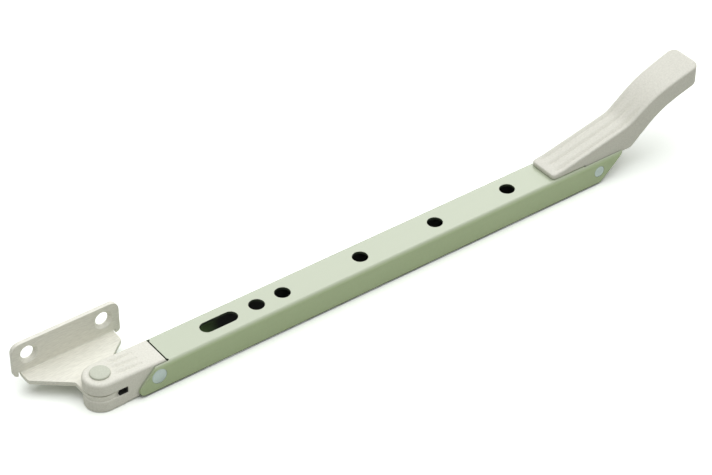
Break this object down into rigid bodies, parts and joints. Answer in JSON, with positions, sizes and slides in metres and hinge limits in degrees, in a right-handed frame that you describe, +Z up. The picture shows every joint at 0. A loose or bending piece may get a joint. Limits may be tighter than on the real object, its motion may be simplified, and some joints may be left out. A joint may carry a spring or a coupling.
{
  "type": "casement stay",
  "caption": "Peg stay that holds a casement window open: a channel arm with peg holes and a cranked lever handle, hinged by a fork knuckle to a folded sash bracket.",
  "frame": {"origin": "midway between the two screw holes, on the face that lies against the sash", "axes": "+X along the closed arm towards the handle, +Y into the sash, +Z up"},
  "size_m": [0.3364, 0.0365, 0.0418],
  "materials": {
    "off_white_paint": "satin off-white powder coat",
    "sage_paint": "satin sage green paint",
    "zinc_pin": "dull zinc plate",
    "pale_rivet": "pale painted rivet head"
  },
  "bodies": {
    "bracket": {"sash_bracket": "off_white_paint"},
    "knuckle": {"fork_knuckle": "off_white_paint", "pivot_rivet": "pale_rivet"},
    "arm": {"stay_arm": "sage_paint", "knuckle_pin": "zinc_pin", "lever_pin": "zinc_pin"},
    "lever": {"lever_handle": "off_white_paint"}
  },
  "joints": [
    {"name": "arm_swing", "type": "hinge", "parent": "bracket", "child": "knuckle", "pos_m": [0, -0.0275, -0.0089], "axis": [0, 0, -1], "range_deg": [-2.5, 182.5]},
    {"name": "arm_lift", "type": "hinge", "parent": "knuckle", "child": "arm", "pos_m": [0.022, -0.0275, -0.0082], "axis": [0, -1, 0], "range_deg": [0, 8]},
    {"name": "lever_turn", "type": "hinge", "parent": "arm", "child": "lever", "pos_m": [0.2544, -0.0275, -0.0087], "axis": [0, 1, 0], "range_deg": [0, 28]}
  ]
}
